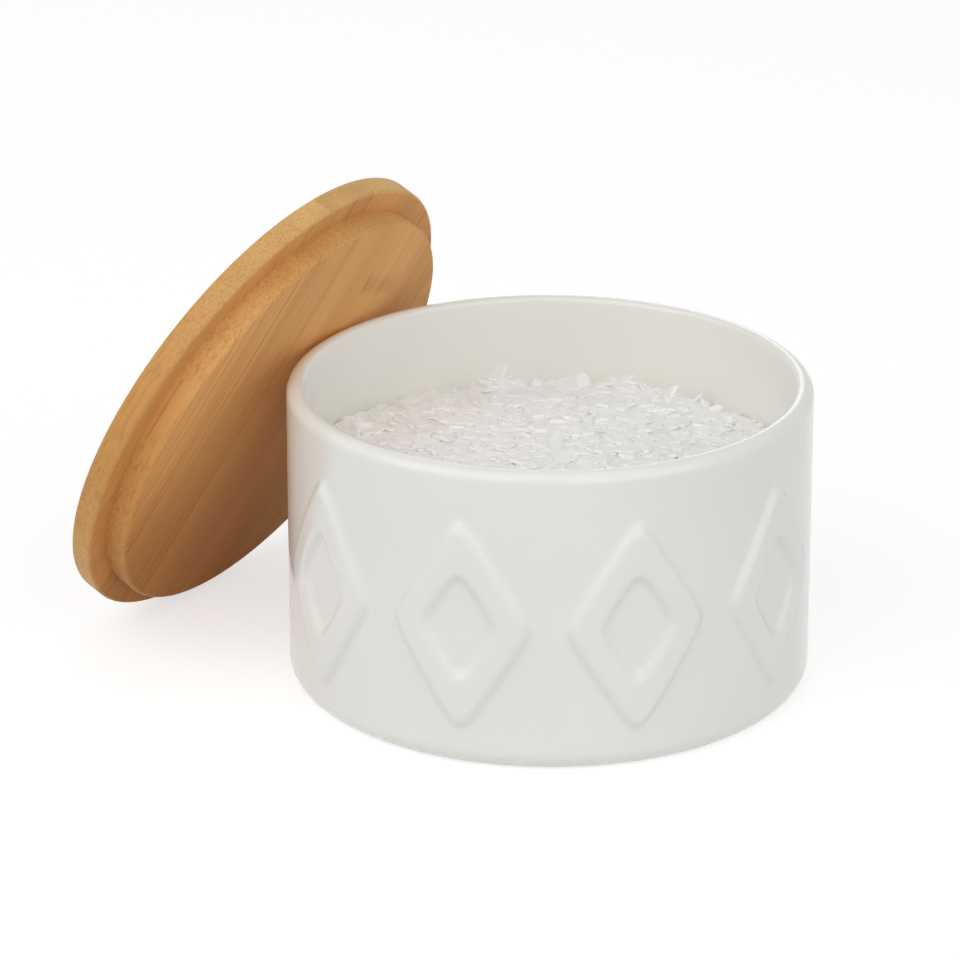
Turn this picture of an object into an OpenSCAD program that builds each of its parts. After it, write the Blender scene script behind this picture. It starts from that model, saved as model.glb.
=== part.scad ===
// Salt bowl with a loose bamboo lid that leans against it.
// Millimetres, +Z up. The origin is the centre of the bowl's foot ring, on the table.

/* [Bowl] */
// Outer diameter of the plain wall
bowl_d = 125; // [105:1:150]
// Height from the table to the crest of the lip
bowl_h = 74; // [66:1:90]
// Thickness of the wall
bowl_wall = 4.2; // [3.8:0.1:6]
// Thickness of the floor, above the table
bowl_floor = 6.5; // [4:0.5:10]
// Radius of the lip's outer edge
lip_outer_r = 2.8; // [1.6:0.1:3.2]
// Radius of the rounded foot
foot_r = 5; // [3:0.5:8]
// Width of the ring that the bowl stands on
foot_ring_w = 7.5; // [4:0.5:15]
// Depth of the recess inside that ring
recess_h = 1.5; // [0.5:0.1:2.5]
// Radius of the inside corner between floor and wall
cove_r = 9; // [4:1:16]

/* [Raised lozenges] */
// Height of the lozenges' lower tips above the table
motif_low = 7.5; // [6:0.5:14]
// Distance from their upper tips to the crest of the lip
motif_rim_gap = 10.5; // [6:0.5:20]
// Width of one lozenge
motif_w = 34; // [26:1:38]
// Width of its raised band
motif_band = 8.5; // [4:0.5:9.5]
// How far the band stands proud of the wall
motif_relief = 1.5; // [0.5:0.1:2.5]
// Angle from one lozenge to the next
motif_pitch = 38; // [38:0.5:60]
// How many lozenges go round the front
motif_count = 4; // [1:1:6]

/* [Salt] */
// Distance from the crest of the lip down to the salt's edge
salt_down = 21; // [16:1:45]
// How much higher the heap is in its middle
salt_crown = 8; // [3:0.5:11]
// Space between the salt and the wall
salt_gap = 0.3; // [0.1:0.1:1]
// Length of the largest flakes
flake_l = 7; // [4:0.5:9]
// Thickness of a flake
flake_t = 0.9; // [0.6:0.1:1.5]
// How many large flakes lie on the heap
flake_count = 46; // [0:1:70]

/* [Lid] */
// Thickness of the top board
lid_t = 6; // [4:0.5:10]
// How far the top board's edge lies inside the bowl's wall
lid_inset = 0.5; // [0:0.1:1.5]
// Thickness of the plug board, which drops into the bowl's mouth
plug_t = 6; // [3:0.1:10]
// Space all round the plug board in the mouth
plug_clear = 2.1; // [0.5:0.1:4]
// Rounding of the top board's two edges
lid_edge_r = 0.8; // [0.3:0.1:1.8]
// Rounding of the plug board's lower edge
plug_edge_r = 1.2; // [0.3:0.1:2.5]
// Width of one bamboo strip
strip_w = 18; // [14:0.5:18]
// How far the plug board's seams lie off the middle of the top board's strips
seam_shift = 1; // [0:0.5:9]
// Angle of the strips from the lid's uphill line
grain_angle = 18; // [0:1:90]

/* [How the lid leans] */
// Angle between the lid's boards and the vertical
lean_tilt = 25.7; // [20:0.1:34]
// Direction in which the lid leans, seen from above
lean_azimuth = -32.7; // [-180:0.1:180]
// How far the lid's centre is off the line through the bowl's axis
lean_side = 8.9; // [-12:0.1:12]
// Space between the lid and the lip that it leans on
lean_gap = 0.3; // [0.2:0.1:1]

/* [Hidden] */
TOP_STRIPS = 7;
PLUG_STRIPS = 6;
$fn = 96;
ROUND_FN = 180;
// how far a cutter reaches past what it cuts
CUT = 1;
// width of a flake as a share of the largest flakes' length
FLAKE_W = 0.6;
// the angle between neighbours that spreads flakes like the seeds of a sunflower
GOLDEN_ANGLE = 137.508;

glaze = [0.93, 0.92, 0.89];
salt_white = [0.97, 0.97, 0.96];
bamboo = [[0.80, 0.58, 0.36], [0.76, 0.53, 0.31], [0.82, 0.61, 0.38]];

bowl_r = bowl_d / 2;
mouth_r = bowl_r - bowl_wall;
lip_inner_r = bowl_wall - lip_outer_r;
crest_r = bowl_r - lip_outer_r;
lip_arc_z = bowl_h - lip_outer_r;
recess_r = bowl_r - foot_r - foot_ring_w;
motif_h = bowl_h - motif_low - motif_rim_gap;
lid_r = bowl_r - lid_inset;
plug_r = mouth_r - plug_clear;
reach = 2 * bowl_d;

// The top of the salt is an arc of radius crown_r, through its edge and its crown.
salt_r = mouth_r - salt_gap;
salt_top_z = bowl_h - salt_down + salt_crown;
crown_r = (salt_r * salt_r + salt_crown * salt_crown) / (2 * salt_crown);
function heap_z(r) = salt_top_z - crown_r + sqrt(crown_r * crown_r - r * r);

// The lid stands on the lowest point of its top board, and its plug board leans on the lip.
lid_centre_z = (lid_r - lid_edge_r) * cos(lean_tilt) + lid_edge_r * (1 - sin(lean_tilt));
lean_drop = (lip_arc_z - lid_centre_z) * sin(lean_tilt);
lid_centre_s = crest_r + (plug_t + lip_outer_r + lean_gap + lean_drop) / cos(lean_tilt);

// A rectangle from (x0, y0) to (x1, y1).
module span(x0, y0, x1, y1) {
    translate([x0, y0]) square([x1 - x0, y1 - y0]);
}

// Half of the bowl's section, right of the axis.
module bowl_section() {
    difference() {
        union() {
            span(0, 0, bowl_r - foot_r, foot_r);
            span(0, foot_r, bowl_r, lip_arc_z);
            translate([bowl_r - foot_r, foot_r]) circle(foot_r);
            translate([crest_r, lip_arc_z]) circle(lip_outer_r);
            span(mouth_r, lip_arc_z, crest_r, bowl_h - lip_inner_r);
            translate([mouth_r + lip_inner_r, bowl_h - lip_inner_r]) circle(lip_inner_r);
        }
        hollow_section(mouth_r, bowl_h);
        span(0, 0, recess_r, recess_h);
    }
}

// Half of the hollow's section out to radius r and up to height top, with a cove above the floor.
module hollow_section(r, top) {
    span(0, bowl_floor, r - cove_r, top);
    span(0, bowl_floor + cove_r, r, top);
    translate([r - cove_r, bowl_floor + cove_r]) circle(cove_r);
}

module lozenge(w, h) {
    polygon([[-w / 2, 0], [0, -h / 2], [w / 2, 0], [0, h / 2]]);
}

// One lozenge band, flat, equally wide on its four sides.
module lozenge_band() {
    diagonal = sqrt(motif_w * motif_w + motif_h * motif_h);
    inner_w = motif_w - 2 * motif_band * diagonal / motif_h;
    inner_h = motif_h - 2 * motif_band * diagonal / motif_w;
    difference() {
        lozenge(motif_w, motif_h);
        lozenge(inner_w, inner_h);
    }
}

// The bands, pushed out through the wall and trimmed to a shell that stands proud of it.
module raised_lozenges() {
    first = -90 - motif_pitch * (motif_count - 1) / 2;
    intersection() {
        difference() {
            cylinder(r = bowl_r + motif_relief, h = bowl_h);
            translate([0, 0, -CUT]) cylinder(r = bowl_r - bowl_wall / 2, h = bowl_h + 2 * CUT);
        }
        union() {
            for (i = [0:motif_count - 1])
                rotate([0, 0, first + i * motif_pitch])
                    translate([0, 0, motif_low + motif_h / 2])
                        rotate([90, 0, 90])
                            linear_extrude(height = bowl_d)
                                lozenge_band();
        }
    }
}

module bowl() {
    color(glaze) {
        rotate_extrude($fn = ROUND_FN) bowl_section();
        raised_lozenges();
    }
}

// Half of the heap's section: it follows the hollow and ends in a low crown.
module salt_section() {
    intersection() {
        hollow_section(salt_r, bowl_h);
        translate([0, salt_top_z - crown_r]) circle(crown_r, $fn = 4 * ROUND_FN);
        span(0, bowl_floor, salt_r, bowl_h);
    }
}

// The heap, with its largest flakes half sunk in it, each turned its own way.
module salt() {
    lean_x = rands(-26, 26, flake_count + 1, 11);
    lean_y = rands(-26, 26, flake_count + 1, 12);
    turn = rands(0, 360, flake_count + 1, 13);
    share = rands(0.55, 1, flake_count + 1, 14);
    field_r = salt_r - flake_l;
    color(salt_white) {
        rotate_extrude($fn = ROUND_FN) salt_section();
        for (i = [0:1:flake_count - 1]) {
            r = field_r * sqrt((i + 0.5) / flake_count);
            rotate([0, 0, i * GOLDEN_ANGLE])
                translate([r, 0, heap_z(r)])
                    rotate([lean_x[i], lean_y[i], turn[i]])
                        cube([flake_l * share[i], flake_l * FLAKE_W, flake_t], center = true);
        }
    }
}

// A round board from z0 to z1, with its lower and its upper edge rounded.
module board(r, z0, z1, low_r, high_r) {
    rotate_extrude($fn = ROUND_FN) {
        span(0, z0, r - low_r, z1 - high_r);
        span(0, z0 + low_r, r, z1 - high_r);
        span(0, z0 + low_r, r - high_r, z1);
        translate([r - low_r, z0 + low_r]) circle(low_r);
        if (high_r > 0) translate([r - high_r, z1 - high_r]) circle(high_r);
    }
}

// The slab that strip i of count takes out of a board, with its seams moved across by shift.
// The outer strips take what is left.
module strip_slab(i, count, shift) {
    low = i == 1 ? -reach : (i - 1 - count / 2) * strip_w + shift;
    high = i == count ? reach : (i - count / 2) * strip_w + shift;
    translate([-reach, low, -reach]) cube([2 * reach, high - low, 2 * reach]);
}

// Puts the lid, drawn flat with the seat between its two boards at z = 0, where it leans.
module leaning() {
    rotate([0, 0, lean_azimuth])
        translate([-lid_centre_s, -lean_side, lid_centre_z])
            rotate([0, lean_tilt - 90, 0])
                rotate([0, 0, grain_angle])
                    children();
}

module lid_top_strip(i) {
    color(bamboo[i % 3])
        leaning()
            intersection() {
                board(lid_r, 0, lid_t, lid_edge_r, lid_edge_r);
                strip_slab(i, TOP_STRIPS, 0);
            }
}

module lid_plug_strip(i) {
    color(bamboo[(i + 1) % 3])
        leaning()
            intersection() {
                board(plug_r, -plug_t, 0, plug_edge_r, 0);
                strip_slab(i, PLUG_STRIPS, seam_shift);
            }
}

bowl();
salt();
for (i = [1:TOP_STRIPS])
    lid_top_strip(i);
for (i = [1:PLUG_STRIPS])
    lid_plug_strip(i);
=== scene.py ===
# %% [markdown]
# A white glazed bowl of salt flakes with its bamboo lid leaning on the rim, seen from a little above.
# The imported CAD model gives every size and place. This lesson loads it as a fixed frame, then dresses
# it: the bowl and the salt get new meshes, because glaze softens edges and salt is thousands of
# flakes, and the lid's strips keep their CAD meshes and get a bamboo that runs through the wood.

# %% Load the frame
import math
import random

import bmesh
import bpy
from mathutils import Matrix, Vector, noise


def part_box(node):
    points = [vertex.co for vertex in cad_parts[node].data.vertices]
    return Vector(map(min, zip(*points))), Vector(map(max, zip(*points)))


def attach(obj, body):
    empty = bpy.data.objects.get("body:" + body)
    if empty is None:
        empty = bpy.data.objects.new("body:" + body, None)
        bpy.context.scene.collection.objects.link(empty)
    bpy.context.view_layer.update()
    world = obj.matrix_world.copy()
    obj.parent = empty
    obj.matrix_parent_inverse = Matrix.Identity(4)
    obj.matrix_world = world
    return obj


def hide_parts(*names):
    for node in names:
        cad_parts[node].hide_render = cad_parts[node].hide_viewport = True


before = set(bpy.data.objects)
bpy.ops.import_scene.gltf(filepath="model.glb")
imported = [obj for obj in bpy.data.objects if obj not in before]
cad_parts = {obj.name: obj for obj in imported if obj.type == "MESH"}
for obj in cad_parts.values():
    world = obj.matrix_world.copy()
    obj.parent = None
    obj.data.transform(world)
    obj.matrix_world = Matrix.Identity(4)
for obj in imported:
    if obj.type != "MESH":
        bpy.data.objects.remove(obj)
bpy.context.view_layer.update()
MM = 0.001
print("nodes in the frame:", len(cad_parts))

# %% [markdown]
# The camera comes first, so that every later look is from the right place. The photograph was taken
# from over a metre away with a long lens: the bowl's rim is a nearly true ellipse, and its sides
# lean in only slightly towards the foot. The place and lens were worked out from those outlines.

# %% Camera
camera_data = bpy.data.cameras.new("camera")
camera_data.lens = 192.0
camera_data.sensor_width = 36.0
camera = bpy.data.objects.new("camera", camera_data)
camera.location = Vector((0.0, -1137.6, 494.8)) * MM
aim = Vector((-16.6, 0.0, 48.2)) * MM
camera.rotation_euler = (aim - camera.location).to_track_quat("-Z", "Y").to_euler()
bpy.context.collection.objects.link(camera)
bpy.context.scene.camera = camera
print("camera distance, m:", round((aim - camera.location).length, 3))

# %% [markdown]
# A studio picture of white ceramic needs large soft lamps, which the glaze shows as pale bands along
# the lip. Two big softboxes stand left and right of the camera. A third, far to the left, keeps that
# side of the bowl and the lid's edge light, and a weak one overhead reaches down to the salt. The
# last is small and stands behind: it draws the thin bright line along the crest of the lip. The
# levels are low enough that a colour renders about as it is written.

# %% Softboxes
light_aim = Vector((0.0, 0.0, 0.05))
light_distance = 1.6


def softbox(name, azimuth, elevation, side, power):
    """A square lamp, aimed at the bowl. Azimuth 0 is the camera's side and 90 is to its right."""
    lamp = bpy.data.lights.new(name, "AREA")
    lamp.shape = "SQUARE"
    lamp.size = side
    lamp.energy = power
    turn = Matrix.Rotation(math.radians(azimuth), 3, "Z") @ Matrix.Rotation(-math.radians(elevation), 3, "X")
    box = bpy.data.objects.new(name, lamp)
    box.location = light_aim + turn @ Vector((0.0, -light_distance, 0.0))
    box.rotation_euler = (light_aim - box.location).to_track_quat("-Z", "Y").to_euler()
    bpy.context.collection.objects.link(box)
    print(name, [round(v, 2) for v in box.location])


softbox("softbox_left", azimuth=-42, elevation=38, side=1.7, power=8.1)
softbox("softbox_right", azimuth=40, elevation=28, side=1.7, power=8.5)
softbox("softbox_far_left", azimuth=-80, elevation=28, side=1.4, power=3.4)
softbox("softbox_top", azimuth=20, elevation=80, side=1.2, power=1.8)
softbox("softbox_back", azimuth=180, elevation=18, side=0.55, power=1.3)

# %% [markdown]
# Light that falls into a white bowl is passed on many times between the salt and the walls. Cycles
# follows four diffuse bounces unless it is told otherwise, and the hollow then comes out grey. With
# twelve it fills up with light, as it does on a table.

# %% Bounces of light
bpy.context.scene.cycles.diffuse_bounces = 12
print("diffuse bounces:", bpy.context.scene.cycles.diffuse_bounces)


# %% [markdown]
# Materials are trees of nodes, and the same few steps come back in each: place a node, add two
# masks, multiply by a number. Each step is a small function, so that a material reads as a list of
# what it mixes.

# %% Small helpers for node trees
def add_node(tree, kind, at, **settings):
    """A node of that kind at that place in the editor, with its settings made."""
    made = tree.nodes.new("ShaderNode" + kind)
    made.location = at
    for key, value in settings.items():
        setattr(made, key, value)
    return made


def sum_of(tree, at, *parts):
    """The sum of two outputs, kept between 0 and 1."""
    total = add_node(tree, "Math", at, operation="ADD", use_clamp=True)
    for slot, part in zip(total.inputs, parts):
        tree.links.new(part, slot)
    return total.outputs[0]


def product_of(tree, at, first, second):
    """The product of an output and a second output or a number."""
    made = add_node(tree, "Math", at, operation="MULTIPLY")
    tree.links.new(first, made.inputs[0])
    if isinstance(second, (int, float)):
        made.inputs[1].default_value = second
    else:
        tree.links.new(second, made.inputs[1])
    return made.outputs[0]


def seen_as_backdrop(tree):
    """1 for the camera, for reflections and for what is seen through glass, and 0 for lighting."""
    path = add_node(tree, "LightPath", (-600, 0))
    seen = sum_of(tree, (-400, 0), path.outputs["Is Camera Ray"], path.outputs["Is Glossy Ray"])
    return sum_of(tree, (-200, 0), seen, path.outputs["Is Transmission Ray"])


# %% [markdown]
# The background is pure white. More light would wash the bowl out, so the world and the floor are
# white only to the camera and in reflections, and light the object at their own, lower level. The
# floor keeps a diffuse part, and that part is what carries the object's soft shadow.

# %% World
world_fill = 0.33
world = bpy.data.worlds.new("studio")
bpy.context.scene.world = world
world.use_nodes = True
tree = world.node_tree
tree.nodes.clear()
fill = add_node(tree, "Background", (-200, 200))
fill.inputs["Strength"].default_value = world_fill
white = add_node(tree, "Background", (-200, 350))
for shader in (fill, white):
    shader.inputs["Color"].default_value = (1.0, 1.0, 1.0, 1.0)
pick = add_node(tree, "MixShader", (0, 0))
out = add_node(tree, "OutputWorld", (200, 0))
tree.links.new(seen_as_backdrop(tree), pick.inputs["Fac"])
tree.links.new(fill.outputs[0], pick.inputs[1])
tree.links.new(white.outputs[0], pick.inputs[2])
tree.links.new(pick.outputs[0], out.inputs["Surface"])
print("world fill:", world_fill)

# %% Floor
floor_half = 1.5
bm = bmesh.new()
bmesh.ops.create_grid(bm, x_segments=1, y_segments=1, size=floor_half)
floor_mesh = bpy.data.meshes.new("floor")
bm.to_mesh(floor_mesh)
bm.free()
floor = bpy.data.objects.new("floor", floor_mesh)
bpy.context.collection.objects.link(floor)
print("floor is", floor.dimensions.x, "m wide")

# %% Floor's paper
paper = bpy.data.materials.new("studio_floor")
paper.use_nodes = True
tree = paper.node_tree
tree.nodes.clear()
bounce = add_node(tree, "BsdfDiffuse", (-200, 450))
bounce.inputs["Color"].default_value = (0.76, 0.76, 0.76, 1.0)
matt = add_node(tree, "BsdfDiffuse", (-200, 250))
matt.inputs["Color"].default_value = (0.52, 0.52, 0.52, 1.0)
glow = add_node(tree, "Emission", (-200, 100))
glow.inputs["Strength"].default_value = 0.66
both = add_node(tree, "AddShader", (0, 200))
pick = add_node(tree, "MixShader", (200, 300))
out = add_node(tree, "OutputMaterial", (400, 300))
tree.links.new(matt.outputs[0], both.inputs[0])
tree.links.new(glow.outputs[0], both.inputs[1])
tree.links.new(seen_as_backdrop(tree), pick.inputs["Fac"])
tree.links.new(bounce.outputs[0], pick.inputs[1])
tree.links.new(both.outputs[0], pick.inputs[2])
tree.links.new(pick.outputs[0], out.inputs["Surface"])
floor_mesh.materials.append(paper)
print("floor's paper has", len(tree.nodes), "nodes")

# %% [markdown]
# The bowl is stoneware, dipped in white glaze. The wall's section is drawn once, as arcs and straight
# lines, and spun round the axis. A spun mesh has its rows and columns where the raised lozenges need
# them, so each lozenge is then pushed out of the wall by moving vertices, with the soft flanks that
# a thick glaze leaves. Cutting it with hard edges would look like card stuck on the wall.

# %% Sizes of the bowl
_, bowl_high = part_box("bowl")
bowl_r = bowl_high[0]
bowl_h = bowl_high[2]
bowl_wall = 4.2 * MM
bowl_floor = 6.5 * MM
lip_outer_r = 2.8 * MM
lip_inner_r = bowl_wall - lip_outer_r
foot_r = 5.0 * MM
foot_ring_w = 7.5 * MM
recess_h = 1.5 * MM
recess_slope = 0.4 * MM
cove_r = 9.0 * MM
mouth_r = bowl_r - bowl_wall
recess_r = bowl_r - foot_r - foot_ring_w
lip_z = bowl_h - lip_outer_r
print("bowl is", round(2 * bowl_r / MM, 1), "mm across and", round(bowl_h / MM, 1), "mm high")


# %% Lines of a section
def arc(across, up, radius, start, end, steps):
    """Points of an arc round (across, up), from one angle to another, in degrees."""
    points = []
    for step in range(steps + 1):
        angle = math.radians(start + (end - start) * step / steps)
        points.append((across + radius * math.cos(angle), up + radius * math.sin(angle)))
    return points


def straight(start, end, steps):
    """Points between two others, without the ends."""
    return [tuple(Vector(start).lerp(Vector(end), step / steps)) for step in range(1, steps)]


def spun(name, section, segments):
    """A closed mesh: the section, from axis to axis, spun round Z."""
    bm = bmesh.new()
    verts = [bm.verts.new((across, 0.0, up)) for across, up in section]
    edges = [bm.edges.new(pair) for pair in zip(verts, verts[1:])]
    bmesh.ops.spin(bm, geom=verts + edges, cent=(0, 0, 0), axis=(0, 0, 1), angle=math.tau,
                   steps=segments, use_merge=True)
    bmesh.ops.remove_doubles(bm, verts=bm.verts, dist=1e-6)
    bmesh.ops.recalc_face_normals(bm, faces=bm.faces)
    for face in bm.faces:
        face.smooth = True
    print(name, "has", len(bm.faces), "faces")
    return bm


# %% Spin the bowl
WALL_ROWS = 104
BOWL_COLUMNS = 480
foot = arc(bowl_r - foot_r, foot_r, foot_r, -90, 0, 9)
lip = arc(bowl_r - lip_outer_r, lip_z, lip_outer_r, 0, 90, 8)
lip_inside = arc(mouth_r + lip_inner_r, bowl_h - lip_inner_r, lip_inner_r, 90, 180, 5)
cove = arc(mouth_r - cove_r, bowl_floor + cove_r, cove_r, 0, -90, 6)
under = [(0.0, recess_h), (recess_r / 2, recess_h), (recess_r, recess_h), (recess_r + recess_slope, 0.0)]
section = under + foot + straight(foot[-1], lip[0], WALL_ROWS) + lip + lip_inside
section += straight(lip_inside[-1], cove[0], 14) + cove
section += [(mouth_r / 2, bowl_floor), (0.0, bowl_floor)]
bowl_bm = spun("bowl_glazed", section, BOWL_COLUMNS)

# %% [markdown]
# A lozenge is the place where |across| and |up|, each as a share of its half width and half height,
# add up to less than one. What is left of one, times a length, is the distance in from the outer
# edge, so a band of even width is a range of that distance. The flanks ease in and out over about
# two millimetres. The same pass marks the flanks in an attribute, strongest halfway up, because a
# glaze that has run over an edge has another thickness there. The glaze's colour reads that mark.

# %% Sizes of the lozenges
motif_w = 34.0 * MM
motif_low = 7.5 * MM
motif_rim_gap = 10.5 * MM
motif_h = bowl_h - motif_low - motif_rim_gap
motif_band = 8.5 * MM
motif_relief = 1.5 * MM
motif_count = 4
motif_pitch = 38.0
flank = 2.0 * MM
tip_round = 2.2 * MM
print("lozenges are", round(motif_w / MM, 1), "mm wide and", round(motif_h / MM, 1), "mm high")


# %% Height of a lozenge's band
def eased(value):
    """0 below 0, 1 above 1, and a smooth rise between them."""
    value = min(max(value, 0.0), 1.0)
    return value * value * (3.0 - 2.0 * value)


def rounded(value):
    """The size of a number, with the corner at 0 rounded off."""
    return math.sqrt(value * value + tip_round * tip_round) - 0.4 * tip_round


def band_height(across, up):
    """How high the raised band is at a place on the flat wall, as a share of its full relief."""
    half_w = motif_w / 2
    half_h = motif_h / 2
    left = 1.0 - rounded(across) / half_w - rounded(up) / half_h
    inward = left * half_w * half_h / math.hypot(half_w, half_h)
    return eased(inward / flank) * eased((motif_band - inward) / flank)


# %% Raise the lozenges
pool = bowl_bm.verts.layers.float.new("glaze_pool")
first = -motif_pitch * (motif_count - 1) / 2
raised = 0
for vert in bowl_bm.verts:
    x, y, z = vert.co
    if math.hypot(x, y) < bowl_r - 0.01 * MM:
        continue
    azimuth = math.degrees(math.atan2(x, -y))
    nearest = min(range(motif_count), key=lambda i: abs(azimuth - first - i * motif_pitch))
    across = bowl_r * math.sin(math.radians(azimuth - first - nearest * motif_pitch))
    height = band_height(across, z - motif_low - motif_h / 2)
    vert[pool] = 4.0 * height * (1.0 - height)
    if height > 0.0:
        grown = (bowl_r + motif_relief * height) / bowl_r
        vert.co = (x * grown, y * grown, z)
        raised += 1
print("vertices raised:", raised)


# %% Make it a piece of the scene
def piece(name, bm, body, *nodes):
    """An object from a bmesh that rides on a body and stands for CAD nodes."""
    mesh = bpy.data.meshes.new(name)
    bm.to_mesh(mesh)
    bm.free()
    made = bpy.data.objects.new(name, mesh)
    bpy.context.collection.objects.link(made)
    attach(made, body)
    if nodes:
        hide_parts(*nodes)
    print(name, "rides on", body, "with", len(mesh.polygons), "faces")
    return made


bowl = piece("bowl_glazed", bowl_bm, "bowl", "bowl")

# %% [markdown]
# The glaze is a warm white, a little greener where it has run together on the flanks of the
# lozenges. One cloudy noise is enough for the body tone: a dipped glaze varies slowly, over
# centimetres.

# %% Glaze: body and pooling
glaze = bpy.data.materials.new("white_glaze")
glaze.use_nodes = True
tree = glaze.node_tree
links = tree.links
shader = tree.nodes["Principled BSDF"]
place = add_node(tree, "TexCoord", (-1200, 0))

cloud = add_node(tree, "TexNoise", (-900, 300))
cloud.inputs["Scale"].default_value = 22.0
cloud.inputs["Detail"].default_value = 2.0
links.new(place.outputs["Object"], cloud.inputs["Vector"])
body_tone = add_node(tree, "ValToRGB", (-700, 300))
body_tone.color_ramp.elements[0].position = 0.35
body_tone.color_ramp.elements[0].color = (0.915, 0.912, 0.868, 1.0)
body_tone.color_ramp.elements[1].position = 0.65
body_tone.color_ramp.elements[1].color = (0.935, 0.932, 0.890, 1.0)
links.new(cloud.outputs["Fac"], body_tone.inputs["Fac"])

pooled = add_node(tree, "Attribute", (-900, 50), attribute_name="glaze_pool")
pooled_mix = add_node(tree, "Mix", (-450, 250), data_type="RGBA")
pooled_mix.inputs["B"].default_value = (0.87, 0.88, 0.83, 1.0)
links.new(product_of(tree, (-700, 50), pooled.outputs["Fac"], 0.5), pooled_mix.inputs["Factor"])
links.new(body_tone.outputs["Color"], pooled_mix.inputs["A"])
print("body and pooling:", len(tree.nodes), "nodes so far")

# %% [markdown]
# A few pin-head specks of iron burn through the glaze, as they often do on stoneware. A Voronoi
# texture has one point in each cell. A small circle round the point is the speck, and the cell's
# own random colour decides whether it has one at all.

# %% Glaze: iron specks
without_speck = 0.80
speck = add_node(tree, "TexVoronoi", (-900, -150))
speck.inputs["Scale"].default_value = 60.0
links.new(place.outputs["Object"], speck.inputs["Vector"])
speck_size = add_node(tree, "MapRange", (-700, -150))
speck_size.inputs["From Min"].default_value = 0.012
speck_size.inputs["From Max"].default_value = 0.022
speck_size.inputs["To Min"].default_value = 1.0
speck_size.inputs["To Max"].default_value = 0.0
links.new(speck.outputs["Distance"], speck_size.inputs["Value"])
few = add_node(tree, "SeparateColor", (-700, -350))
links.new(speck.outputs["Color"], few.inputs["Color"])
chosen = add_node(tree, "Math", (-500, -350), operation="GREATER_THAN")
chosen.inputs[1].default_value = without_speck
links.new(few.outputs[0], chosen.inputs[0])
speck_mix = add_node(tree, "Mix", (-250, 200), data_type="RGBA")
speck_mix.inputs["B"].default_value = (0.22, 0.17, 0.12, 1.0)
speck_mask = product_of(tree, (-450, -150), speck_size.outputs["Result"], chosen.outputs[0])
links.new(speck_mask, speck_mix.inputs["Factor"])
links.new(pooled_mix.outputs["Result"], speck_mix.inputs["A"])
print("share of the cells with a speck:", round(1.0 - without_speck, 2))

# %% [markdown]
# The ring that the bowl stands on is wiped free of glaze before firing, so below a fraction of a
# millimetre the colour turns to bare clay and the gloss goes. Height alone tells where that is, so
# the Z of the Object coordinates is the mask. Above it the glaze is glossy, with a faint ripple.

# %% Glaze: wiped foot ring, gloss and ripple
split = add_node(tree, "SeparateXYZ", (-900, -550))
links.new(place.outputs["Object"], split.inputs["Vector"])
bare = add_node(tree, "MapRange", (-700, -550))
bare.inputs["From Min"].default_value = 0.15 * MM
bare.inputs["From Max"].default_value = 0.35 * MM
bare.inputs["To Min"].default_value = 1.0
bare.inputs["To Max"].default_value = 0.0
links.new(split.outputs["Z"], bare.inputs["Value"])
clay_mix = add_node(tree, "Mix", (-50, 150), data_type="RGBA")
clay_mix.inputs["B"].default_value = (0.62, 0.55, 0.44, 1.0)
links.new(bare.outputs["Result"], clay_mix.inputs["Factor"])
links.new(speck_mix.outputs["Result"], clay_mix.inputs["A"])
links.new(clay_mix.outputs["Result"], shader.inputs["Base Color"])

gloss = add_node(tree, "MapRange", (-250, -500))
gloss.inputs["To Min"].default_value = 0.17
gloss.inputs["To Max"].default_value = 0.75
links.new(bare.outputs["Result"], gloss.inputs["Value"])
links.new(gloss.outputs["Result"], shader.inputs["Roughness"])

ripple = add_node(tree, "TexNoise", (-500, -800))
ripple.inputs["Scale"].default_value = 55.0
ripple.inputs["Detail"].default_value = 1.0
links.new(place.outputs["Object"], ripple.inputs["Vector"])
wave = add_node(tree, "Bump", (-250, -800))
wave.inputs["Strength"].default_value = 0.25
wave.inputs["Distance"].default_value = 0.3 * MM
links.new(ripple.outputs["Fac"], wave.inputs["Height"])
links.new(wave.outputs["Normal"], shader.inputs["Normal"])
bowl.data.materials.append(glaze)
print("glaze has", len(tree.nodes), "nodes")

# %% [markdown]
# The salt is flaky sea salt, heaped in the middle and lower towards the back, where a few clumps
# lie. Under the top layer nothing shows, so the body of the heap is one closed form, spun like the
# bowl, with its upper skin moved to the height that one function gives. The flakes will be dropped
# on that same height. The heap fits the hollow with the same small gap all round that the CAD solid
# keeps.

# %% Shape of the heap
_, salt_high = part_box("salt")
salt_r = salt_high[0]
salt_down = 21.0 * MM
salt_edge_z = bowl_h - salt_down
salt_crown = 8.0 * MM
crown_r = (salt_r ** 2 + salt_crown ** 2) / (2 * salt_crown)
edge_band = 12 * MM
back_drop = 3.2 * MM
back_start = 22 * MM
back_reach = 32 * MM
clump_w = 9 * MM
crumb_w = 3.5 * MM
clump_relief = 1.3 * MM
# Mounds and hollows as (x, y, height, spread), in millimetres
mounds = [(-13, 45, 5.2, 6), (20, 44, 5.2, 9), (4, 48, 2.4, 5), (-30, 30, 1.5, 8), (34, 2, -2.0, 12),
          (2, -22, -1.0, 18)]


def heap_z(x, y):
    """Height of the heap's skin at a place."""
    r = min(math.hypot(x, y), salt_r)
    z = salt_edge_z + salt_crown - crown_r + math.sqrt(crown_r ** 2 - r ** 2)
    inside = eased((salt_r - r) / edge_band)
    z -= back_drop * eased((y - back_start) / back_reach)
    for mx, my, height, spread in mounds:
        away = math.hypot(x / MM - mx, y / MM - my) / spread
        z += height * MM * math.exp(-away * away) * inside
    clumps = noise.noise(Vector((x, y, 0.0)) / clump_w)
    crumbs = noise.noise(Vector((x, y, 0.02)) / crumb_w)
    return z + clump_relief * (clumps + 0.5 * crumbs) * (0.4 + 0.6 * inside)


print("heap's middle is", round(heap_z(0.0, 0.0) / MM, 1), "mm above the table")

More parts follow.
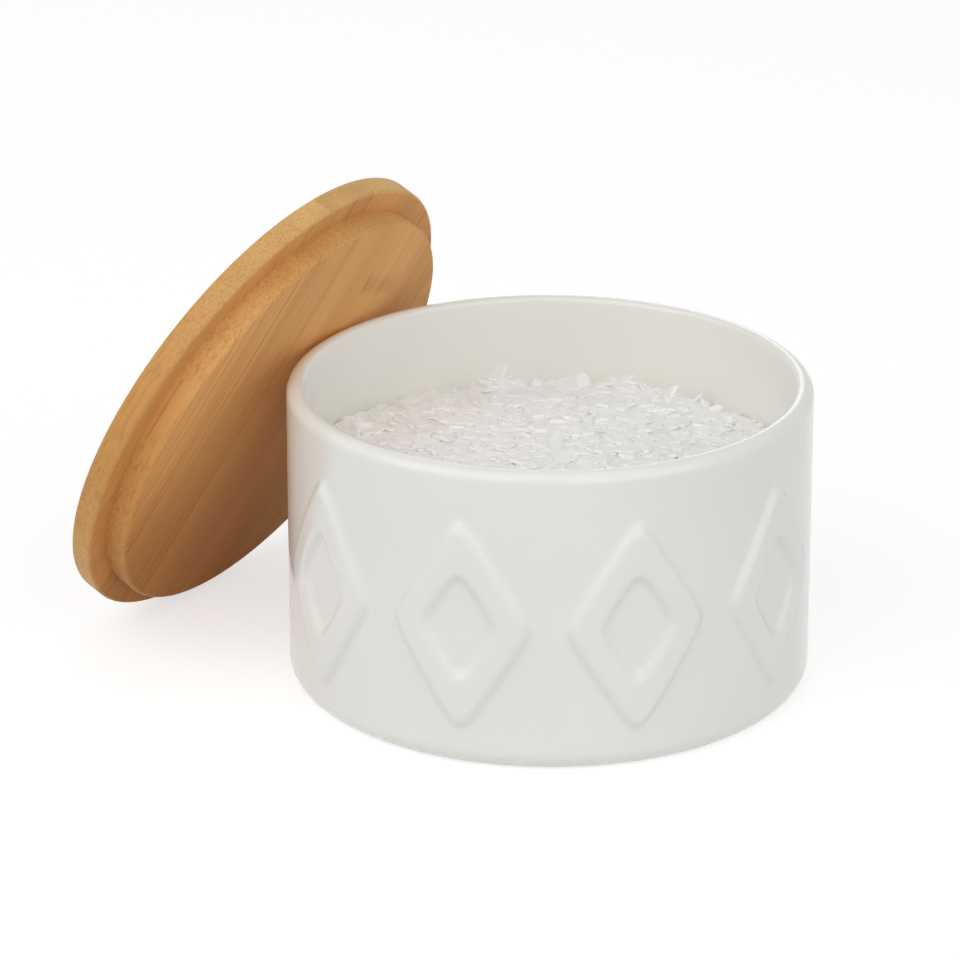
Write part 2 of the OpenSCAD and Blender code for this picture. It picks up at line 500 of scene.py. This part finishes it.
# %% The body of the heap
HEAP_RINGS = 80
HEAP_COLUMNS = 240
sunk = 0.1 * MM
cove = arc(salt_r - cove_r, bowl_floor + cove_r, cove_r, -90, 0, 6)
heap_section = [(0.0, bowl_floor)] + cove + straight(cove[-1], (salt_r, salt_edge_z), 8)
heap_section += [(salt_r, salt_edge_z)] + straight((salt_r, salt_edge_z), (0.0, salt_edge_z), HEAP_RINGS)
heap_section += [(0.0, salt_edge_z)]
heap_bm = spun("salt_heap", heap_section, HEAP_COLUMNS)
for vert in heap_bm.verts:
    if vert.co.z > salt_edge_z - sunk:
        vert.co.z = heap_z(vert.co.x, vert.co.y) - sunk
heap = piece("salt_heap", heap_bm, "bowl", "salt")

# %% [markdown]
# A flake of sea salt is a thin crystal plate, two to seven millimetres across, with slanted edges.
# A dozen plates are made: each is a circle of five to seven corners, moved a little, extruded to the
# plate's thickness and drawn in at the top. Thousands of copies are then turned, sized and dropped
# on the heap. Most lie nearly flat, and a few near the rim stand on edge, which gives the heap its
# ragged outline. Each plate has only a few faces, because so many are needed.

# %% Flake plates
dice = random.Random(7)
PLATES = 12
top_taper = 0.84


def flake_plate(corners, thickness):
    """One thin plate about 1 m across, to be scaled down, as a mesh."""
    bm = bmesh.new()
    bmesh.ops.create_circle(bm, cap_ends=True, segments=corners, radius=0.5)
    for vert in bm.verts:
        vert.co.x *= dice.uniform(0.75, 1.15)
        vert.co.y *= dice.uniform(0.45, 0.95)
    grown = bmesh.ops.extrude_face_region(bm, geom=bm.faces[:])
    top = [v for v in grown["geom"] if isinstance(v, bmesh.types.BMVert)]
    for vert in top:
        vert.co.z += thickness
        vert.co.x *= top_taper
        vert.co.y *= top_taper
    bmesh.ops.recalc_face_normals(bm, faces=bm.faces)
    mesh = bpy.data.meshes.new("flake_plate")
    bm.to_mesh(mesh)
    bm.free()
    return mesh


plates = [flake_plate(dice.choice((5, 6, 7)), dice.uniform(0.05, 0.14)) for _ in range(PLATES)]
print("plates to copy:", len(plates))

# %% Drop the flakes
FLAKES = 3200
STANDING = 70
smallest, largest, usual = 1.8 * MM, 7.0 * MM, 3.6 * MM
flakes_bm = bmesh.new()
for count in range(FLAKES):
    size = dice.triangular(smallest, largest, usual)
    reach = salt_r - 0.6 * size
    r = reach * math.sqrt(dice.random())
    angle = dice.uniform(0, math.tau)
    lift = dice.triangular(-0.7, 0.2, -0.15) * MM
    steep = math.radians(dice.triangular(0, 22, 4))
    if count < STANDING:
        r = reach * dice.uniform(0.75, 1.0)
        steep = math.radians(dice.uniform(35, 75))
        lift = 0.25 * size
    x = r * math.cos(angle)
    y = r * math.sin(angle)
    turn = Matrix.Rotation(dice.uniform(0, math.tau), 4, "Z") @ Matrix.Rotation(steep, 4, "X")
    turn = turn @ Matrix.Rotation(dice.uniform(0, math.tau), 4, "Z")
    put = Matrix.Translation((x, y, heap_z(x, y) + lift)) @ turn @ Matrix.Scale(size, 4)
    plate = dice.choice(plates)
    plate.transform(put)
    flakes_bm.from_mesh(plate)
    plate.transform(put.inverted())
flakes = piece("salt_flakes", flakes_bm, "bowl", "salt")

# %% [markdown]
# Salt is clear, but a heap of small crystals scatters the light until it is nearly pure white, so a
# very pale, fairly rough surface stands for it. One fine noise gives both the tone, from one crystal
# to the next, and the dents in their faces.

# %% Salt
salt = bpy.data.materials.new("salt_flakes")
salt.use_nodes = True
tree = salt.node_tree
links = tree.links
shader = tree.nodes["Principled BSDF"]
place = add_node(tree, "TexCoord", (-900, 0))
grain = add_node(tree, "TexNoise", (-700, 100))
grain.inputs["Scale"].default_value = 420.0
grain.inputs["Detail"].default_value = 3.0
links.new(place.outputs["Object"], grain.inputs["Vector"])
tone = add_node(tree, "ValToRGB", (-500, 100))
tone.color_ramp.elements[0].position = 0.3
tone.color_ramp.elements[0].color = (0.955, 0.955, 0.942, 1.0)
tone.color_ramp.elements[1].position = 0.7
tone.color_ramp.elements[1].color = (0.985, 0.985, 0.972, 1.0)
links.new(grain.outputs["Fac"], tone.inputs["Fac"])
links.new(tone.outputs["Color"], shader.inputs["Base Color"])
shader.inputs["Roughness"].default_value = 0.6
dents = add_node(tree, "Bump", (-300, -200))
dents.inputs["Strength"].default_value = 0.25
dents.inputs["Distance"].default_value = 0.15 * MM
links.new(grain.outputs["Fac"], dents.inputs["Height"])
links.new(dents.outputs["Normal"], shader.inputs["Normal"])
heap.data.materials.append(salt)
flakes.data.materials.append(salt)
print("flakes on the heap:", FLAKES)

# %% [markdown]
# The lid is two boards of bamboo strips glued side by side. Bamboo has no rings: it is a bundle of
# straight dark fibres in pale wood. They show as fine streaks along a strip and as dots where the
# round edge cuts across them. Wood painted on each face would not join up at the edges, so the
# pattern fills the solid: every strip reads its place in the lid's own axes, along the grain,
# across it and through the board. The lid leans, so a Mapping node takes the lean out again.

# %% The lid's own axes
lean_tilt = 25.7
lean_azimuth = -32.7
grain_angle = 18.0
top_strips = sorted(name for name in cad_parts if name.startswith("lid_top"))
plug_strips = sorted(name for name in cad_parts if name.startswith("lid_plug"))
corners = [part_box(name) for name in top_strips]
low = Vector([min(corner[0][axis] for corner in corners) for axis in range(3)])
high = Vector([max(corner[1][axis] for corner in corners) for axis in range(3)])
lid_centre = (low + high) / 2
lean = Matrix.Rotation(math.radians(lean_azimuth), 3, "Z")
lean = lean @ Matrix.Rotation(math.radians(lean_tilt - 90), 3, "Y")
lean = lean @ Matrix.Rotation(math.radians(grain_angle), 3, "Z")
grain_way = lean @ Vector((1.0, 0.0, 0.0))
print("grain runs along", [round(v, 3) for v in grain_way])


# %% [markdown]
# Every strip needs the same wood with other values, so the wood will be one node group, and each
# part of it is first made as a function that adds its nodes. The patterns are all stretched along
# the grain, as bamboo's are. They are given as how often they repeat in a metre along the grain,
# across it and through the board.

# %% Patterns stretched along the grain
def scaled_place(tree, at, vector, scale):
    """The place, stretched so that a pattern gets its size in each direction."""
    made = add_node(tree, "VectorMath", at, operation="MULTIPLY")
    made.inputs[1].default_value = scale
    tree.links.new(vector, made.inputs[0])
    return made.outputs["Vector"]


def stretched_noise(tree, at, vector, scale, detail):
    """A cloudy noise of that scale."""
    made = add_node(tree, "TexNoise", at)
    made.inputs["Scale"].default_value = 1.0
    made.inputs["Detail"].default_value = detail
    tree.links.new(scaled_place(tree, (at[0] - 250, at[1]), vector, scale), made.inputs["Vector"])
    return made.outputs["Fac"]


def mapped(tree, at, value, low_in, high_in, low_out, high_out):
    """A value moved smoothly from one range to another, and kept in it."""
    made = add_node(tree, "MapRange", at, interpolation_type="SMOOTHSTEP")
    made.inputs["From Min"].default_value = low_in
    made.inputs["From Max"].default_value = high_in
    made.inputs["To Min"].default_value = low_out
    made.inputs["To Max"].default_value = high_out
    tree.links.new(value, made.inputs["Value"])
    return made.outputs["Result"]


# %% [markdown]
# Bamboo's fibres run in dark bundles, about half a millimetre apart. A Voronoi texture has a point
# for each bundle, and stretched along the grain it becomes a sheaf of rods: round dots on a face
# that cuts them, and almost nothing on a side. The lines on a side come from a stretched noise, with
# a strength that each strip sets for itself, because strips differ most in that.

# %% Fibres: dots on a cut end, lines on a side
def fibre_marks(group, given, streaks, on_side):
    """How dark the fibres make the wood."""
    bundles = add_node(group, "TexVoronoi", (-1000, 300))
    bundles.inputs["Scale"].default_value = 1.0
    bundles.inputs["Randomness"].default_value = 0.75
    stretched = scaled_place(group, (-1250, 300), given.outputs["Place"], (14, 2100, 2100))
    group.links.new(stretched, bundles.inputs["Vector"])
    dots = mapped(group, (-800, 300), bundles.outputs["Distance"], 0.10, 0.50, 1.0, 0.0)
    end_dots = product_of(group, (-550, 300), dots, given.outputs["Cut across"])
    end_dots = product_of(group, (-450, 300), end_dots, 0.50)
    faint_dots = product_of(group, (-550, 180), dots, 0.10)
    lines = mapped(group, (-800, 0), streaks, 0.48, 0.70, 0.0, 1.0)
    side_lines = product_of(group, (-550, 50), lines, given.outputs["Fibre lines"])
    side_lines = product_of(group, (-400, 50), side_lines, on_side)
    return sum_of(group, (-200, 200), sum_of(group, (-350, 250), end_dots, faint_dots), side_lines)


# %% [markdown]
# Where the cane had a knot, a planed strip shows a browner band, a few millimetres long. A band with
# straight edges would look painted on, so a noise moves it to and fro, and the strip's own streaks
# break it up.

# %% Knot
def knot_mark(group, given, along, streaks):
    """How dark the knot makes the wood: a wavering band across the strip, broken up by its lines."""
    waver = stretched_noise(group, (-1000, -700), given.outputs["Place"], (20, 110, 110), 2.0)
    wander = product_of(group, (-800, -700), waver, 6 * MM)
    from_knot = add_node(group, "Math", (-800, -550), operation="SUBTRACT")
    group.links.new(along, from_knot.inputs[0])
    group.links.new(given.outputs["Knot at"], from_knot.inputs[1])
    off = add_node(group, "Math", (-600, -600), operation="SUBTRACT")
    group.links.new(from_knot.outputs[0], off.inputs[0])
    group.links.new(wander, off.inputs[1])
    distance = add_node(group, "Math", (-450, -600), operation="ABSOLUTE")
    group.links.new(off.outputs[0], distance.inputs[0])
    band = mapped(group, (-300, -600), distance.outputs[0], 0.5 * MM, 4.5 * MM, 0.45, 0.0)
    return product_of(group, (-150, -500), band, streaks)


# %% [markdown]
# The sides of the strips are painted browner towards one end and paler towards the other: painted shade at
# the lid's low end, which the bowl shades, and painted light at its lit upper end. A ramp along the grain
# gives that, and each board takes its own share of it.

# %% Painted shade and light along the grain
def painted_grain_shading(group, along):
    """Painted shade and light along the grain, as a factor: darker at the low end, which the bowl shades,
    paler at the lit upper end, and 1 in the middle of the lid.
    """
    shade_to_light = mapped(group, (-600, -900), along, -50 * MM, 30 * MM, 0.0, 1.0)
    shade_ramp = add_node(group, "ValToRGB", (-300, -900))
    shade_ramp.color_ramp.elements[0].color = (0.76, 0.64, 0.50, 1.0)
    shade_ramp.color_ramp.elements[1].color = (1.12, 1.19, 1.34, 1.0)
    middle = shade_ramp.color_ramp.elements.new(0.5)
    middle.color = (1.0, 1.0, 1.0, 1.0)
    group.links.new(shade_to_light, shade_ramp.inputs["Fac"])
    return shade_ramp.outputs["Color"]


# %% [markdown]
# The group joins the parts. What goes in is the place in the lid's axes, how far a face cuts across
# the fibres, and the values that differ from strip to strip. Colour, height and roughness come out.

# %% Sockets of the bamboo group
wood_group = bpy.data.node_groups.new("bamboo_fibres", "ShaderNodeTree")
socket = wood_group.interface.new_socket
socket(name="Place", in_out="INPUT", socket_type="NodeSocketVector")
for name in ("Light wood", "Dark wood"):
    socket(name=name, in_out="INPUT", socket_type="NodeSocketColor")
# One input sets how strongly a strip takes the painted shade and light along the grain.
for name in ("Cut across", "Fibre lines", "Knot at", "Painted shading", "Pale ends"):
    socket(name=name, in_out="INPUT", socket_type="NodeSocketFloat")
socket(name="Colour", in_out="OUTPUT", socket_type="NodeSocketColor")
for name in ("Height", "Roughness"):
    socket(name=name, in_out="OUTPUT", socket_type="NodeSocketFloat")
links = wood_group.links
given = wood_group.nodes.new("NodeGroupInput")
given.location = (-1500, 0)
print("sockets of the bamboo group:", len(wood_group.interface.items_tree))

# %% [markdown]
# The wood between the fibres starts from the strip's light and dark colour, mixed by a broad cloud.
# On this lid the cut ends are paler than the sides, most of all on the top board, and the painted shade and
# light along the grain lie only on the sides. So each of the two is multiplied over the colour by a mask.

# %% Wood between the fibres
split = add_node(wood_group, "SeparateXYZ", (-1250, -600))
links.new(given.outputs["Place"], split.inputs["Vector"])
on_side = add_node(wood_group, "Math", (-800, 120), operation="SUBTRACT", use_clamp=True)
on_side.inputs[0].default_value = 1.0
links.new(given.outputs["Cut across"], on_side.inputs[1])
broad = stretched_noise(wood_group, (-1000, -300), given.outputs["Place"], (7, 75, 75), 2.0)
wood_mix = add_node(wood_group, "Mix", (-100, 0), data_type="RGBA")
links.new(mapped(wood_group, (-800, -300), broad, 0.3, 0.7, 0.0, 0.55), wood_mix.inputs["Factor"])
links.new(given.outputs["Light wood"], wood_mix.inputs["A"])
links.new(given.outputs["Dark wood"], wood_mix.inputs["B"])

end_grain = add_node(wood_group, "Mix", (50, 0), data_type="RGBA", blend_type="MULTIPLY")
end_grain.inputs["B"].default_value = (1.10, 1.33, 1.66, 1.0)
pale = product_of(wood_group, (-150, 120), given.outputs["Cut across"], given.outputs["Pale ends"])
links.new(pale, end_grain.inputs["Factor"])
links.new(wood_mix.outputs["Result"], end_grain.inputs["A"])

# Painted shade at the low end of the strips and painted light at the upper end, on the sides only.
shaded_wood = add_node(wood_group, "Mix", (200, 0), data_type="RGBA", blend_type="MULTIPLY")
shading_share = product_of(wood_group, (50, -150), on_side.outputs[0], given.outputs["Painted shading"])
links.new(shading_share, shaded_wood.inputs["Factor"])
links.new(end_grain.outputs["Result"], shaded_wood.inputs["A"])
links.new(painted_grain_shading(wood_group, split.outputs["X"]), shaded_wood.inputs["B"])
print("wood between the fibres:", len(wood_group.nodes), "nodes so far")

# %% [markdown]
# The dark fibres and the knot lie over everything else, so they come last. The fibres also give the
# height, and their streaks the roughness, because an oiled board is a little duller along them.

# %% Fibres and knot over the wood
streaks = stretched_noise(wood_group, (-1000, 0), given.outputs["Place"], (8, 1000, 1000), 3.0)
dark = fibre_marks(wood_group, given, streaks, on_side.outputs[0])
knot = knot_mark(wood_group, given, split.outputs["X"], streaks)
fibre_mix = add_node(wood_group, "Mix", (350, 100), data_type="RGBA", blend_type="MULTIPLY")
fibre_mix.inputs["B"].default_value = (0.42, 0.28, 0.17, 1.0)
links.new(sum_of(wood_group, (200, 250), dark, knot), fibre_mix.inputs["Factor"])
links.new(shaded_wood.outputs["Result"], fibre_mix.inputs["A"])
result = wood_group.nodes.new("NodeGroupOutput")
result.location = (500, 0)
links.new(fibre_mix.outputs["Result"], result.inputs["Colour"])
links.new(dark, result.inputs["Height"])
links.new(mapped(wood_group, (100, -200), streaks, 0.3, 0.7, 0.50, 0.64), result.inputs["Roughness"])
print("bamboo group has", len(wood_group.nodes), "nodes")

# %% [markdown]
# A strip reads its pattern in the lid's own axes. The Object coordinates give the place in the
# shared frame, and a Mapping node set to Texture turns the lean back. A shift, another for each
# strip, keeps neighbours from matching. How far a face cuts across the fibres is how far its normal
# points along the grain.

# %% What a strip reads from its place
def place_in_lid(tree, shift):
    """The place in the lid's own axes, with the pattern shifted."""
    place = add_node(tree, "TexCoord", (-1100, 100))
    settle = add_node(tree, "Mapping", (-900, 100), vector_type="TEXTURE")
    settle.inputs["Location"].default_value = lid_centre
    settle.inputs["Rotation"].default_value = lean.to_euler("XYZ")
    tree.links.new(place.outputs["Object"], settle.inputs["Vector"])
    moved = add_node(tree, "VectorMath", (-700, 100), operation="ADD")
    moved.inputs[1].default_value = (0.0, 31 * MM * shift, 17 * MM * shift)
    tree.links.new(settle.outputs["Vector"], moved.inputs[0])
    return moved.outputs["Vector"]


def cut_across(tree):
    """1 on a face that cuts square across the fibres, and 0 on a face along them."""
    place = add_node(tree, "TexCoord", (-1100, -200))
    facing = add_node(tree, "VectorMath", (-900, -200), operation="DOT_PRODUCT")
    facing.inputs[1].default_value = grain_way
    tree.links.new(place.outputs["Normal"], facing.inputs[0])
    cut = add_node(tree, "Math", (-700, -200), operation="ABSOLUTE")
    tree.links.new(facing.outputs["Value"], cut.inputs[0])
    return cut.outputs[0]


# %% [markdown]
# Each strip was cut from another cane, so each has its own tone, its own strength of fibre lines
# and its own place for the knot that a cane has at every joint. One function makes a strip's
# material from those few values. Oiled bamboo has only a weak shine, so its specular level is low.

# %% A strip's material
light_wood = (0.745, 0.382, 0.124)
dark_wood = (0.595, 0.276, 0.079)


def bamboo(name, shift, painted_shading, pale, tone, lines, knot):
    """The material of one strip. The tone makes it lighter or darker than the rest."""
    wood = bpy.data.materials.new(name)
    wood.use_nodes = True
    tree = wood.node_tree
    shader = tree.nodes["Principled BSDF"]
    fibres = tree.nodes.new("ShaderNodeGroup")
    fibres.node_tree = wood_group
    fibres.location = (-450, 0)
    fibres.inputs["Light wood"].default_value = [channel * tone for channel in light_wood] + [1.0]
    fibres.inputs["Dark wood"].default_value = [channel * tone for channel in dark_wood] + [1.0]
    fibres.inputs["Fibre lines"].default_value = lines
    fibres.inputs["Knot at"].default_value = knot
    # How strongly this strip takes the painted shade and light along the grain.
    fibres.inputs["Painted shading"].default_value = painted_shading
    fibres.inputs["Pale ends"].default_value = pale
    tree.links.new(place_in_lid(tree, shift), fibres.inputs["Place"])
    tree.links.new(cut_across(tree), fibres.inputs["Cut across"])
    shader.inputs["Specular IOR Level"].default_value = 0.12
    relief = add_node(tree, "Bump", (-200, -200))
    relief.inputs["Strength"].default_value = 0.3
    relief.inputs["Distance"].default_value = 0.1 * MM
    tree.links.new(fibres.outputs["Height"], relief.inputs["Height"])
    tree.links.new(fibres.outputs["Colour"], shader.inputs["Base Color"])
    tree.links.new(fibres.outputs["Roughness"], shader.inputs["Roughness"])
    tree.links.new(relief.outputs["Normal"], shader.inputs["Normal"])
    return wood


# %% Dress the strips
# A strip whose knot is a metre away has none.
FAR = 1.0
# Each strip as (tone, strength of the fibre lines, place of the knot along the strip)
top_looks = [(1.00, 0.26, FAR), (1.06, 0.22, FAR), (0.96, 0.26, -20 * MM), (1.03, 0.22, FAR),
             (0.98, 0.26, FAR), (1.05, 0.22, 12 * MM), (0.97, 0.26, FAR)]
plug_looks = [(1.05, 0.40, FAR), (0.95, 0.24, FAR), (1.00, 0.10, FAR), (1.03, 0.10, 36 * MM),
              (0.98, 0.16, FAR), (1.05, 0.14, FAR)]
# Each board as (strips, looks, first shift of the pattern, strength of the painted shade and light along the
# grain, paleness of cut ends)
boards = ((top_strips, top_looks, 15, 0.5, 1.0), (plug_strips, plug_looks, 16, 1.0, 0.28))
for strips, looks, first_shift, painted_shading, pale in boards:
    for index, (name, look) in enumerate(zip(strips, looks)):
        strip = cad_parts[name]
        strip.data.materials.clear()
        strip.data.materials.append(bamboo("bamboo_" + name, first_shift + index, painted_shading, pale, *look))
print("strips dressed:", len(top_strips) + len(plug_strips))

# %% [markdown]
# Last, the view settings stay plain.

# %% Finish
bpy.context.scene.view_settings.view_transform = "Standard"
